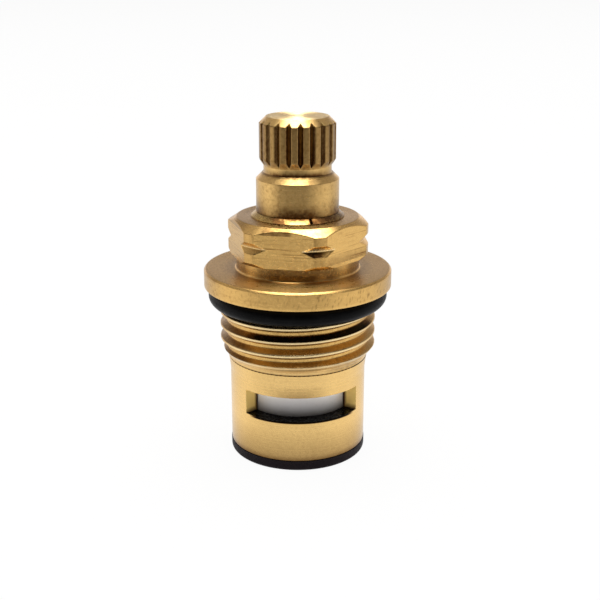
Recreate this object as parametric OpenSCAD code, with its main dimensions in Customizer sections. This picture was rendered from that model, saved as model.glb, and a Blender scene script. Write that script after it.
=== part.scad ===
// Quarter-turn ceramic disc tap cartridge with a half-inch pipe thread.
// It stands on its rubber seal with the spindle on top, and the front looks towards -Y.
// The origin is the middle of the seal's lower face.

/* [Spindle] */
// Height of the spindle above the hexagon
spindle_proud = 13.05; // [11:0.05:20]
// Diameter over the tips of the spline teeth
spline_d = 10; // [9:0.1:11]
// Number of spline teeth
spline_teeth = 20; // [16:1:24]
// Length of the straight part of the teeth
spline_h = 4.55; // [3.5:0.05:7]
// Depth of the V-grooves between the teeth
spline_depth = 0.5; // [0.3:0.05:0.7]
// Width of the flat tip of a tooth
tooth_tip_w = 0.75; // [0.5:0.05:0.95]
// Turn of a spline groove, to the right of the front
spline_turn = 4.5; // [0:0.5:18]
// Chamfer round the top of the spindle
spindle_chamfer = 0.9; // [0.3:0.05:1.2]
// Height of the cone where the teeth run out into the neck
spline_runout_h = 0.85; // [0.5:0.05:1.2]
// Height of the neck between the spline and the shaft
neck_h = 0.9; // [0.6:0.05:2]
// How far the neck lies below the bottom of the spline grooves
neck_step = 0.05; // [0.02:0.01:0.3]
// Diameter of the shaft
shaft_d = 10.9; // [10.4:0.1:11.6]
// Chamfer round the top of the shaft
shaft_chamfer = 0.85; // [0.3:0.05:0.9]
// Height of the drive drum at the foot of the shaft
drum_h = 4; // [3:0.1:6]
// Height of the stop lugs on the drum
stop_lug_h = 2.4; // [1.5:0.1:2.8]
// Width of the tang that drives the moving disc
tang_w = 4; // [3:0.1:5]
// Length of the tang
tang_l = 9.6; // [8:0.1:10.5]
// Height of the tang below the drum
tang_h = 1.8; // [1:0.1:2.4]
// Turn of the spindle between closed and open
turn_angle = 90; // [80:1:100]

/* [Retaining ring] */
// Height of the ring
ring_h = 0.62; // [0.5:0.02:1.2]
// How far the ring's foot stands out past the shaft
ring_flare = 0.72; // [0.5:0.02:1]
// Height of the narrow rim round the foot of the ring
ring_rim_h = 0.08; // [0.04:0.01:0.2]
// Depth of the ring's groove in the shaft
ring_groove_depth = 0.25; // [0.15:0.05:0.4]
// Angle of the gap in the ring
ring_gap_angle = 4; // [2:1:40]
// Turn of the gap, to the right of the front
ring_gap_turn = 17; // [0:1:360]

/* [Hexagon and flange] */
// Width of the hexagon across its flats
hex_af = 17; // [16.5:0.1:19]
// Height of the hexagon
hex_h = 5.2; // [4:0.1:8]
// How much of each corner is turned away
hex_blunt = 0.42; // [0.1:0.02:0.6]
// Distance from the flats to the start of the turned crown
hex_crown_inset = 0.45; // [0.2:0.05:1.2]
// Slope of the turned crown
hex_crown_angle = 34; // [15:1:40]
// Height of the chamfer under the corners
hex_foot_chamfer = 0.5; // [0.2:0.05:0.8]
// Height of the V-groove round the hexagon
hex_groove_h = 1.45; // [0.8:0.05:1.8]
// Depth of that groove in the corners
hex_groove_depth = 0.6; // [0.3:0.05:0.7]
// How far the groove lies below the middle of the hexagon
hex_groove_drop = 0.15; // [0:0.05:0.5]
// Turn of a corner, to the right of the front
hex_turn = 18; // [0:1:60]
// Diameter of the boss under the hexagon
boss_d = 16.4; // [15.5:0.1:17.4]
// Height of the boss
boss_h = 1.8; // [1:0.05:4]
// Fillet at the foot of the boss
boss_fillet = 0.25; // [0.1:0.05:0.5]
// Diameter of the flange
flange_d = 25.1; // [24.4:0.1:28]
// Thickness of the flange
flange_t = 2.4; // [2:0.1:4]
// Chamfer round the top of the flange
flange_chamfer = 0.25; // [0.1:0.05:0.6]

/* [Threaded barrel] */
// Outside diameter of the pipe thread
thread_d = 20.955; // [20.6:0.005:22]
// Length of the barrel at the full thread diameter
thread_h = 5.25; // [4:0.05:10]
// Height of the lead-in cone below the thread
thread_lead_h = 1.35; // [0.8:0.05:1.8]
// Height of the bevel above the thread
thread_bevel_h = 0.3; // [0.2:0.05:0.8]
// Depth of the ring seat below the thread's crests
ring_seat_depth = 1; // [0.6:0.05:1.1]
// Height of the plain skirt at the seam
skirt_h = 0.3; // [0.2:0.05:1.5]

/* [Sleeve] */
// Wall of the sleeve
sleeve_wall = 1.9; // [1.5:0.1:2]
// How far the sleeve flares out at the seam
sleeve_flare = 0.23; // [0.1:0.01:0.4]
// Height of the flare below the seam
sleeve_flare_h = 1.85; // [0.5:0.05:2.4]
// Height of the water windows
window_h = 3.4; // [2.4:0.1:3.8]
// Angle of each water window
window_angle = 107; // [70:1:120]
// Height of the window sills above the lapped faces of the discs
window_rise = 0.3; // [0.2:0.05:0.6]
// Turn of the middle of a window, to the right of the front
window_turn = 5; // [-20:1:20]
// Height of the spigot that enters the headpiece
spigot_h = 2.3; // [1.8:0.1:4]
// Wall of the spigot
spigot_wall = 0.9; // [0.7:0.05:1]
// Height of the snap bead on the spigot
snap_bead = 0.2; // [0.1:0.05:0.3]
// Depth of the stop ribs inside the sleeve
rib_depth = 1.05; // [0.7:0.05:1.2]
// Angle of each stop rib
rib_angle = 40; // [25:1:55]

/* [Ceramic discs] */
// Diameter of the ceramic discs
disc_d = 14.4; // [13.8:0.1:14.6]
// Thickness of the fixed disc
fixed_disc_t = 3.15; // [2.5:0.05:4.5]
// Thickness of the moving disc
moving_disc_t = 4.3; // [4.1:0.1:6]
// Angle of each solid wing of the moving disc
wing_angle = 106; // [96:1:112]
// Angle of each port through the fixed disc
port_angle = 66; // [40:1:70]
// Ceramic left between the tang's slot and the notches
hub_web = 0.9; // [0.5:0.1:1.2]
// Chamfer round the discs
disc_chamfer = 0.2; // [0.1:0.05:0.4]
// Width of the keys on the fixed disc and the seal
key_w = 3; // [2:0.1:4]
// Depth of those keys
key_depth = 0.7; // [0.4:0.05:0.9]

/* [Seals and washer] */
// Thickness of the seal's rim below the sleeve
seal_rim_t = 1.4; // [0.8:0.05:2]
// How far the seal's rim stands out past the sleeve
seal_overhang = 0.05; // [0:0.01:0.2]
// Radius of the seal's lower outer edge
seal_round = 0.45; // [0.2:0.05:0.7]
// Height of the seal's plug inside the sleeve
seal_plug_h = 2.2; // [1.5:0.1:4]
// Diameter of the water inlet
inlet_d = 10; // [8:0.1:11]
// Wall of the ring that stiffens the seal
support_wall = 0.65; // [0.5:0.05:0.9]
// How far the stiffening ring is set up from the seal's lower face
support_recess = 0.5; // [0.3:0.05:1]
// Thickness of the rubber ring under the flange
flange_ring_d = 2.5; // [1.8:0.05:2.8]
// Thickness of the rubber rings on the shaft
shaft_ring_d = 1.5; // [1.2:0.05:1.8]
// Distance from the top of the hexagon to the upper shaft ring
shaft_ring_drop = 5; // [3:0.1:6]
// Distance between the two shaft rings
shaft_ring_pitch = 5.5; // [3:0.1:8]
// Thickness of the slide washer
washer_t = 0.8; // [0.5:0.1:1.5]

/* [Clearances] */
// Radial clearance of the shaft in the headpiece
run_gap = 0.05; // [0.02:0.01:0.1]
// Clearance of the turning pieces inside the sleeve
turn_gap = 0.1; // [0.05:0.01:0.2]
// Clearance between pieces that are fitted together
seat_gap = 0.03; // [0.02:0.01:0.05]
// Film between the lapped faces of the discs
lap_gap = 0.02; // [0.01:0.01:0.05]
// Slack angle of the stop lugs at each end of the turn
stop_slack = 0.5; // [0.2:0.1:2]
// Small bevel that breaks the sharp turned edges
edge_break = 0.1; // [0.05:0.01:0.2]

/* [Hidden] */
$fn = 96;

brass = "#d3ab63";
polished_brass = "#e6c37a";
rubber = "#1d1a1c";
ceramic = "#eceae6";
plastic = "#d9d7cf";

// How far a cutting solid reaches past the face that it cuts
past = 1;

// Directions, as angles from +X
front = -90;
window_dir = front + window_turn;
rib_dir = window_dir + 90;

// Radii
spline_r = spline_d / 2;
spline_root_r = spline_r - spline_depth;
neck_r = spline_root_r - neck_step;
shaft_r = shaft_d / 2;
shaft_bore_r = shaft_r + run_gap;
disc_r = disc_d / 2;
bore_r = disc_r + turn_gap;
sleeve_r = bore_r + sleeve_wall;
spigot_r = bore_r + spigot_wall;
rib_r = bore_r - rib_depth;
drum_r = rib_r - turn_gap;
thread_r = thread_d / 2;
ring_seat_r = thread_r - ring_seat_depth;
skirt_r = sleeve_r + sleeve_flare;
flange_r = flange_d / 2;
boss_r = boss_d / 2;
hex_corner_r = hex_af / 2 / cos(30) - hex_blunt;
hex_crown_r = hex_af / 2 - hex_crown_inset;
hex_groove_r = hex_corner_r - hex_groove_depth;
key_r = bore_r + key_depth;
inlet_r = inlet_d / 2;
support_r = inlet_r + support_wall;
seal_bore_r = support_r + seat_gap;
seal_r = sleeve_r + seal_overhang;
slot_w = tang_w + 2 * turn_gap;
hub_r = slot_w / 2 + hub_web;

// Levels, from the seal upwards
sleeve_z = seal_rim_t;
fixed_z = sleeve_z + seal_plug_h;
lap_z = fixed_z + fixed_disc_t;
moving_z = lap_z + lap_gap;
moving_top = moving_z + moving_disc_t;
drum_z = moving_top + turn_gap;
drum_top = drum_z + drum_h;
washer_z = drum_top + seat_gap;
spigot_top = washer_z + washer_t;
ceiling_z = spigot_top + seat_gap;
seam_z = spigot_top - spigot_h;
thread_z = seam_z + skirt_h + thread_lead_h;
thread_top = thread_z + thread_h;
flange_z = thread_top + thread_bevel_h + flange_ring_d + seat_gap;
flange_top = flange_z + flange_t;
hex_z = flange_top + boss_h;
hex_top = hex_z + hex_h;
spindle_top = hex_top + spindle_proud;
window_z = lap_z + window_rise;
upper_ring_z = hex_top - shaft_ring_drop;
lower_ring_z = upper_ring_z - shaft_ring_pitch;

// Retaining ring and its groove
retainer_z = hex_top + seat_gap;
retainer_groove_r = shaft_r - ring_groove_depth;

// Rubber rings on the shaft and their grooves
shaft_ring_r = shaft_bore_r - seat_gap - shaft_ring_d / 2;
shaft_groove_r = shaft_ring_r - shaft_ring_d / 2 - seat_gap;

// Two stop lugs share each half turn with two ribs, the travel and the slack
stop_lug_angle = 180 - rib_angle - turn_angle - 2 * stop_slack;
stop_lug_dir = rib_dir + rib_angle / 2 + stop_slack + stop_lug_angle / 2;

// Solid of revolution from a list of [radius, height] points
module turned(points) {
    rotate_extrude()
        polygon(points);
}

// Part of a ring wall with radial ends, centred on one direction
module ring_sector(r_in, r_out, dir, angle, z, h) {
    translate([0, 0, z])
        rotate(dir - angle / 2)
            rotate_extrude(angle = angle)
                translate([r_in, 0])
                    square([r_out - r_in, h]);
}

// The same form twice, on opposite sides of the axis
module opposite_pair() {
    for (side = [0, 180])
        rotate(side)
            children();
}

// Flat bar across the axis with round ends
module round_bar(length, width, dir, z, h) {
    translate([0, 0, z])
        intersection() {
            cylinder(d = length, h = h);
            rotate(dir)
                translate([-length / 2, -width / 2, 0])
                    cube([length, width, h]);
        }
}

// Round disc with a bevel on both edges
module bevelled_disc(r, z, h, bevel) {
    turned([
        [0, z],
        [r - bevel, z],
        [r, z + bevel],
        [r, z + h - bevel],
        [r - bevel, z + h],
        [0, z + h]
    ]);
}

// Ring of round section
module round_ring(r, section_d, z) {
    translate([0, 0, z])
        rotate_extrude()
            translate([r, 0])
                circle(d = section_d);
}

// Points of a square groove in a turned shaft, from its lower edge to its upper edge
function groove_points(r, r_bottom, z, h) = [
    [r, z - h / 2],
    [r_bottom, z - h / 2],
    [r_bottom, z + h / 2],
    [r, z + h / 2]
];

// Points on a quarter round that starts at angle a, around the middle c
function quarter(c, r, a, steps = 6) = [
    for (i = [0 : steps])
        c + r * [cos(a + 90 * i / steps), sin(a + 90 * i / steps)]
];

// Hexagon with a turned crown, blunt corners and a V-groove round it
module hexagon() {
    groove_z = hex_z + hex_h / 2 - hex_groove_drop;
    crown_h = (hex_corner_r - hex_crown_r) * tan(hex_crown_angle);
    intersection() {
        translate([0, 0, hex_z])
            rotate(front + hex_turn)
                cylinder(r = hex_af / 2 / cos(30), h = hex_h, $fn = 6);
        turned([
            [0, hex_z],
            [hex_corner_r - hex_foot_chamfer, hex_z],
            [hex_corner_r, hex_z + hex_foot_chamfer],
            [hex_corner_r, groove_z - hex_groove_h / 2],
            [hex_groove_r, groove_z],
            [hex_corner_r, groove_z + hex_groove_h / 2],
            [hex_corner_r, hex_top - crown_h],
            [hex_crown_r, hex_top],
            [0, hex_top]
        ]);
    }
}

// Flange, boss, ring seat, barrel and skirt as one turned outline
module headpiece_outline() {
    fillet_centre = [boss_r + boss_fillet, flange_top + boss_fillet];
    fillet = quarter(fillet_centre, boss_fillet, 180);
    turned(concat(
        [
            [0, seam_z],
            [skirt_r - edge_break, seam_z],
            [skirt_r, seam_z + edge_break],
            [skirt_r, seam_z + skirt_h],
            [thread_r, thread_z],
            [thread_r, thread_top],
            [ring_seat_r, thread_top + thread_bevel_h],
            [ring_seat_r, flange_z],
            [flange_r - edge_break, flange_z],
            [flange_r, flange_z + edge_break],
            [flange_r, flange_top - flange_chamfer],
            [flange_r - flange_chamfer, flange_top]
        ],
        [for (i = [len(fillet) - 1 : -1 : 0]) fillet[i]],
        [
            [boss_r, hex_z + hex_h / 2],
            [0, hex_z + hex_h / 2]
        ]
    ));
}

// Triangular bead round the spigot, or its groove when it is grown by a gap
module snap_ring(gap) {
    z = (seam_z + spigot_top) / 2;
    reach = snap_bead + gap;
    turned([
        [bore_r, z - reach],
        [spigot_r, z - reach],
        [spigot_r + reach, z],
        [spigot_r, z + reach],
        [bore_r, z + reach]
    ]);
}

module headpiece() {
    color(brass)
        difference() {
            union() {
                headpiece_outline();
                hexagon();
            }
            translate([0, 0, seam_z - past])
                cylinder(r = shaft_bore_r, h = hex_top - seam_z + 2 * past);
            translate([0, 0, seam_z - past])
                cylinder(r = spigot_r + seat_gap, h = ceiling_z - seam_z + past);
            snap_ring(2 * seat_gap);
        }
}

module disc_sleeve() {
    color(brass)
        difference() {
            union() {
                difference() {
                    union() {
                        turned([
                            [0, sleeve_z],
                            [sleeve_r - edge_break, sleeve_z],
                            [sleeve_r, sleeve_z + edge_break],
                            [sleeve_r, seam_z - sleeve_flare_h],
                            [skirt_r, seam_z - seat_gap - edge_break],
                            [skirt_r - edge_break, seam_z - seat_gap],
                            [spigot_r, seam_z - seat_gap],
                            [spigot_r, spigot_top],
                            [0, spigot_top]
                        ]);
                        snap_ring(0);
                    }
                    translate([0, 0, sleeve_z - past])
                        cylinder(r = bore_r, h = spigot_top - sleeve_z + 2 * past);
                }
                opposite_pair()
                    ring_sector(rib_r, bore_r + spigot_wall / 2, rib_dir, rib_angle,
                        drum_z + turn_gap, drum_h - 2 * turn_gap);
            }
            opposite_pair()
                ring_sector(bore_r - turn_gap, sleeve_r + past, window_dir, window_angle,
                    window_z, window_h);
            round_bar(2 * (key_r + seat_gap), key_w + 2 * seat_gap, rib_dir,
                sleeve_z - past, lap_z - sleeve_z + past);
        }
}

// V-shaped cut between two spline teeth
module spline_groove() {
    pitch = PI * spline_d / spline_teeth;
    half_w = (pitch - tooth_tip_w) / 2;
    spread = (spline_depth + past) / spline_depth;
    translate([0, 0, hex_top])
        linear_extrude(height = spindle_proud + past)
            polygon([
                [spline_root_r, 0],
                [spline_r + past, -half_w * spread],
                [spline_r + past, half_w * spread]
            ]);
}

// Shaft, neck and splined head as one turned outline
module spindle_outline() {
    tip_z = spindle_top - spindle_chamfer;
    spline_z = tip_z - spline_h;
    neck_top = spline_z - spline_runout_h;
    shaft_top = neck_top - neck_h;
    shaft_groove_h = shaft_ring_d + 2 * turn_gap;
    turned(concat(
        [
            [0, drum_z],
            [drum_r - edge_break, drum_z],
            [drum_r, drum_z + edge_break],
            [drum_r, drum_top],
            [shaft_r, drum_top]
        ],
        groove_points(shaft_r, shaft_groove_r, lower_ring_z, shaft_groove_h),
        groove_points(shaft_r, shaft_groove_r, upper_ring_z, shaft_groove_h),
        groove_points(shaft_r, retainer_groove_r, retainer_z + ring_h / 2, ring_h + 2 * seat_gap),
        [
            [shaft_r, shaft_top - shaft_chamfer],
            [shaft_r - shaft_chamfer, shaft_top],
            [neck_r, shaft_top],
            [neck_r, neck_top],
            [spline_r, spline_z],
            [spline_r, tip_z],
            [spline_r - spindle_chamfer, spindle_top],
            [0, spindle_top]
        ]
    ));
}

module spindle() {
    step = 360 / spline_teeth;
    neck_mid = spindle_top - spindle_chamfer - spline_h - spline_runout_h - neck_h / 2;
    color(brass)
        union() {
            difference() {
                spindle_outline();
                intersection() {
                    for (i = [0 : spline_teeth - 1])
                        rotate(front + spline_turn + i * step)
                            spline_groove();
                    translate([0, 0, neck_mid])
                        cylinder(r = spline_r + 2 * past, h = spindle_proud);
                }
            }
            opposite_pair()
                ring_sector(drum_r - rib_depth, bore_r - turn_gap, stop_lug_dir,
                    stop_lug_angle, drum_z + edge_break, stop_lug_h);
            round_bar(tang_l, tang_w, window_dir, drum_z - tang_h, tang_h + edge_break);
        }
}

// Open ring with a conical face that runs from the hexagon up to the shaft
module retaining_ring() {
    ring_in_r = retainer_groove_r + seat_gap;
    ring_out_r = shaft_r + ring_flare;
    color(polished_brass)
        translate([0, 0, retainer_z])
            rotate(front + ring_gap_turn + ring_gap_angle / 2)
                rotate_extrude(angle = 360 - ring_gap_angle)
                    polygon([
                        [ring_in_r, 0],
                        [ring_out_r, 0],
                        [ring_out_r, ring_rim_h],
                        [shaft_r + seat_gap, ring_h],
                        [ring_in_r, ring_h]
                    ]);
}

module upper_spindle_o_ring() {
    color(rubber)
        round_ring(shaft_ring_r, shaft_ring_d, upper_ring_z);
}

module lower_spindle_o_ring() {
    color(rubber)
        round_ring(shaft_ring_r, shaft_ring_d, lower_ring_z);
}

module slide_washer() {
    color(plastic)
        difference() {
            translate([0, 0, washer_z])
                cylinder(r = bore_r - seat_gap, h = washer_t);
            translate([0, 0, washer_z - past])
                cylinder(r = shaft_r + turn_gap, h = washer_t + 2 * past);
        }
}

module flange_o_ring() {
    color(rubber)
        round_ring(ring_seat_r + seat_gap + flange_ring_d / 2, flange_ring_d,
            flange_z - seat_gap - flange_ring_d / 2);
}

module moving_disc() {
    color(ceramic)
        difference() {
            bevelled_disc(disc_r, moving_z, moving_disc_t, disc_chamfer);
            opposite_pair()
                ring_sector(hub_r, disc_r + past, rib_dir, 180 - wing_angle,
                    moving_z - past, moving_disc_t + 2 * past);
            round_bar(tang_l + 2 * turn_gap, slot_w, window_dir,
                drum_z - tang_h - turn_gap, tang_h + past);
        }
}

module fixed_disc() {
    color(ceramic)
        difference() {
            union() {
                bevelled_disc(disc_r, fixed_z, fixed_disc_t, disc_chamfer);
                round_bar(2 * key_r, key_w, rib_dir, fixed_z + disc_chamfer,
                    fixed_disc_t - 2 * disc_chamfer);
            }
            opposite_pair()
                ring_sector(hub_r, inlet_r, window_dir, port_angle,
                    fixed_z - past, fixed_disc_t + 2 * past);
        }
}

module bottom_seal() {
    round_centre = [seal_r - seal_round, seal_round];
    color(rubber)
        difference() {
            union() {
                turned(concat(
                    [[0, 0]],
                    quarter(round_centre, seal_round, -90),
                    [
                        [seal_r, sleeve_z],
                        [bore_r - seat_gap, sleeve_z],
                        [bore_r - seat_gap, fixed_z],
                        [0, fixed_z]
                    ]
                ));
                round_bar(2 * key_r, key_w, rib_dir, sleeve_z, seal_plug_h);
            }
            translate([0, 0, -past])
                cylinder(r = seal_bore_r, h = fixed_z + 2 * past);
        }
}

module seal_support_ring() {
    color(plastic)
        difference() {
            bevelled_disc(support_r, support_recess, fixed_z - support_recess, edge_break);
            translate([0, 0, -past])
                cylinder(r = inlet_r, h = fixed_z + 2 * past);
        }
}

headpiece();
disc_sleeve();
spindle();
retaining_ring();
upper_spindle_o_ring();
lower_spindle_o_ring();
slide_washer();
flange_o_ring();
moving_disc();
fixed_disc();
bottom_seal();
seal_support_ring();
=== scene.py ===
"""Ceramic disc tap cartridge: thread and spline, materials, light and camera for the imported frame."""
import math
from typing import NamedTuple

import bmesh
import bpy
import numpy as np
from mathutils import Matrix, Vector

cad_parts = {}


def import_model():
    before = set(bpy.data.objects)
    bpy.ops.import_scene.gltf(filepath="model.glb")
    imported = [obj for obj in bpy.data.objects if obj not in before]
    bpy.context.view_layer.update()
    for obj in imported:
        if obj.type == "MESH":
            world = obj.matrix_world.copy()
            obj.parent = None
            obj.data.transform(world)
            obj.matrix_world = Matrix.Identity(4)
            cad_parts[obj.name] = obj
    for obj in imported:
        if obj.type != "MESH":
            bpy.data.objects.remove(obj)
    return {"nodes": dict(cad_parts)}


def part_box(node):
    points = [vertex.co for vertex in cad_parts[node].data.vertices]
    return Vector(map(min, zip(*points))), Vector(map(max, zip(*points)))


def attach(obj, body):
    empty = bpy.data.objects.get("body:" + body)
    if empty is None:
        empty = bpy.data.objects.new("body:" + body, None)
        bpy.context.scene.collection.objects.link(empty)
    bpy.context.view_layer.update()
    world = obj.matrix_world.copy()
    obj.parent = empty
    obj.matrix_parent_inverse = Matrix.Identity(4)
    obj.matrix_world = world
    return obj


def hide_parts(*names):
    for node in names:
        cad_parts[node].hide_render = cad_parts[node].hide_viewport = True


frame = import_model()
bpy.context.view_layer.update()

MM = 0.001
FRONT = math.radians(-90)


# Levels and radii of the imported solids, in millimetres

def node_box(node):
    """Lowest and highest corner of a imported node."""
    low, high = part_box(node)
    return Vector(low) / MM, Vector(high) / MM


HEAD_LOW, HEAD_HIGH = node_box("headpiece")
SPINDLE_LOW, SPINDLE_HIGH = node_box("spindle")
SLEEVE_LOW, SLEEVE_HIGH = node_box("disc_sleeve")
RETAINER_LOW, RETAINER_HIGH = node_box("retaining_ring")
FLANGE_RING_LOW = node_box("flange_o_ring")[0]
DISC_LOW = node_box("moving_disc")[0]

SEAT_GAP = 0.03
LAP_GAP = 0.02
SEAM_Z = HEAD_LOW.z
HEX_TOP = HEAD_HIGH.z
FLANGE_R = HEAD_HIGH.x
SLEEVE_BOTTOM = SLEEVE_LOW.z
SPIGOT_TOP = SLEEVE_HIGH.z
SLEEVE_BORE_R = 7.3
WINDOW_RISE = 0.3
WINDOW_LOW = DISC_LOW.z - LAP_GAP + WINDOW_RISE
WINDOW_H = 3.4
WINDOW_TOP = WINDOW_LOW + WINDOW_H
WINDOW_DIR = FRONT + math.radians(5)

# Headpiece
HEX_APOTHEM = 8.5
HEX_H = 5.2
HEX_CORNER_CUT = 0.42
HEX_CORNER_R = HEX_APOTHEM / math.cos(math.radians(30)) - HEX_CORNER_CUT
HEX_CROWN_CUT = 0.45
HEX_CROWN_R = HEX_APOTHEM - HEX_CROWN_CUT
HEX_CROWN_SLOPE = math.tan(math.radians(34))
HEX_FOOT_CHAMFER = 0.5
HEX_EDGE_ROUND = 0.08
HEX_GROOVE_H = 1.45
HEX_GROOVE_DEPTH = 0.6
HEX_GROOVE_DROP = 0.15
# Degrees from the front to the hexagon's corner on its right
HEX_TURN = 18
HEX_CORNER_DIR = FRONT + math.radians(HEX_TURN)
BOSS_R = 8.2
BOSS_H = 1.8
BOSS_FILLET = 0.25
FLANGE_T = 2.4
FLANGE_CHAMFER = 0.25
THREAD_R = 20.955 / 2
THREAD_LEAD_H = 1.35
THREAD_BEVEL_H = 0.3
RING_SEAT_DEPTH = 1.0
RING_SEAT_R = THREAD_R - RING_SEAT_DEPTH
SKIRT_R = 9.43
SKIRT_H = 0.3
BARREL_WALL = 0.3
SHAFT_BORE_R = 5.5
SPIGOT_BORE_R = 8.23
SNAP_REACH = 0.26
LIP_GAP = 0.01

SEAM_LIP_Z = SEAM_Z - SEAT_GAP + LIP_GAP
HEX_Z = HEX_TOP - HEX_H
HEX_GROOVE_Z = HEX_Z + HEX_H / 2 - HEX_GROOVE_DROP
FLANGE_TOP = HEX_Z - BOSS_H
FLANGE_Z = FLANGE_TOP - FLANGE_T
THREAD_TOP = FLANGE_RING_LOW.z - THREAD_BEVEL_H
THREAD_Z = SEAM_Z + SKIRT_H + THREAD_LEAD_H
CEILING_Z = SPIGOT_TOP + SEAT_GAP

# Right-hand pipe thread: 14 turns to the inch, flanks at 55 degrees, narrow crests and wide roots
PITCH = 25.4 / 14
FLANK = math.radians(27.5)
THREAD_DEPTH = 0.95
CREST_HALF_W = 0.15
CREST_ROUND = 0.1
ROOT_ROUND = 0.2
CREST_Z = 17.17
# Levels between which the thread runs in and out
RUN_IN = (SEAM_Z + 0.45, SEAM_Z + 1.1)
RUN_OUT = (THREAD_TOP + 0.1, THREAD_TOP + 0.4)

# Spindle
SPLINE_R = 5.0
SPLINE_TEETH = 20
SPLINE_H = 4.55
SPLINE_DEPTH = 0.5
SPLINE_ROUND = 0.04
TOOTH_TIP_W = 0.75
SPLINE_DIR = FRONT + math.radians(4.5)
SPINDLE_CHAMFER = 0.9
SPLINE_RUNOUT_H = 0.85
NECK_H = 0.9
NECK_CLEARANCE = 0.05
NECK_R = SPLINE_R - SPLINE_DEPTH - NECK_CLEARANCE
SHAFT_R = 5.45
SHAFT_CHAMFER = 0.85
TANG_L = 9.6
TANG_W = 4.0
TANG_H = 1.8
DRUM_H = 4.0
DRUM_R = 6.15
DRUM_CHAMFER = 0.1
LUG_R = 7.2
LUG_H = 2.4
RING_GROOVE_R = 3.91
RING_GROOVE_H = 1.7
UPPER_RING_DROP = 5.0
RING_SPACING = 5.5
RETAINER_GROOVE_R = 5.2

# The stop lugs fill what the sleeve's ribs and the travel leave of half a turn, in degrees
TRAVEL = 90
# From a window's middle to the next rib's
RIB_TURN = 90
RIB_ANGLE = 40
STOP_SLACK = 0.5
LUG_SPAN = 180 - RIB_ANGLE - TRAVEL - 2 * STOP_SLACK
LUG_ANGLE = math.radians(LUG_SPAN)
LUG_DIR = WINDOW_DIR + math.radians(RIB_TURN + RIB_ANGLE / 2 + STOP_SLACK + LUG_SPAN / 2)

TIP_Z = SPINDLE_HIGH.z - SPINDLE_CHAMFER
SPLINE_Z = TIP_Z - SPLINE_H
NECK_TOP = SPLINE_Z - SPLINE_RUNOUT_H
SHAFT_TOP = NECK_TOP - NECK_H
SHAFT_CHAMFER_Z = SHAFT_TOP - SHAFT_CHAMFER
DRUM_Z = SPINDLE_LOW.z + TANG_H
UPPER_RING_Z = HEX_TOP - UPPER_RING_DROP
LOWER_RING_Z = UPPER_RING_Z - RING_SPACING
RETAINER_Z = (RETAINER_LOW.z + RETAINER_HIGH.z) / 2
RETAINER_GROOVE_H = RETAINER_HIGH.z - RETAINER_LOW.z + 2 * SEAT_GAP

# Meshes: sides round the axis, points in a fillet, merging distance in metres and angle of a sharp edge
SIDES = 480
FILLET_POINTS = 5
MERGE_GAP = 1e-7
SHARP_ANGLE = math.radians(50)

# Room in comparisons: for rounding errors, and in millimetres for a flat face and for a rounded edge
TINY = 1e-4
FLAT = 0.02
NEAR = 0.05


# Surfaces swept round the axis

class Corner(NamedTuple):
    """Corner of an outline, with the fillet's radius and the spacing of points on the way to it."""
    r: float
    z: float
    fillet: float = 0
    step: float = 0


def smooth_min(a, b, k):
    """The smaller of two radii, with the edge between them rounded over about k."""
    h = np.clip(0.5 + 0.5 * (b - a) / k, 0, 1)
    return b * (1 - h) + a * h - k * h * (1 - h)


def ramp(x, low, high):
    """Smooth step from 0 at low to 1 at high."""
    t = np.clip((x - low) / (high - low), 0, 1)
    return t * t * (3 - 2 * t)


def band(x, rise, fall):
    """One between two pairs of limits, rising over the first and falling over the second."""
    return ramp(x, *rise) * (1 - ramp(x, *fall))


def fillet_arc(before, here, after, radius):
    """Points of the arc that rounds the corner at here."""
    to_before = (before - here) / np.linalg.norm(before - here)
    to_after = (after - here) / np.linalg.norm(after - here)
    half = math.acos(float(np.clip(to_before @ to_after, -1, 1))) / 2
    reach = radius / math.tan(half)
    bow = (to_before + to_after) / np.linalg.norm(to_before + to_after)
    centre = here + bow * radius / math.sin(half)
    start = here + to_before * reach - centre
    end = here + to_after * reach - centre
    arc = []
    for t in np.linspace(0, 1, FILLET_POINTS):
        spoke = start * (1 - t) + end * t
        arc.append(centre + spoke / np.linalg.norm(spoke) * radius)
    return arc


def rounded_path(corners, closed):
    """Points along an outline of corners, with their fillets."""
    count = len(corners)
    points = []
    for i, corner in enumerate(corners):
        here = np.array(corner[:2])
        inner = closed or 0 < i < count - 1
        arc = [here]
        if corner.fillet and inner:
            before = np.array(corners[i - 1][:2])
            after = np.array(corners[(i + 1) % count][:2])
            arc = fillet_arc(before, here, after, corner.fillet)
        if corner.step and points:
            last = points[-1]
            span = np.linalg.norm(arc[0] - last)
            for t in np.linspace(0, 1, max(2, int(span / corner.step) + 1))[1:-1]:
                points.append(last + (arc[0] - last) * t)
        points.extend(arc)
    return np.array(points)


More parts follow.
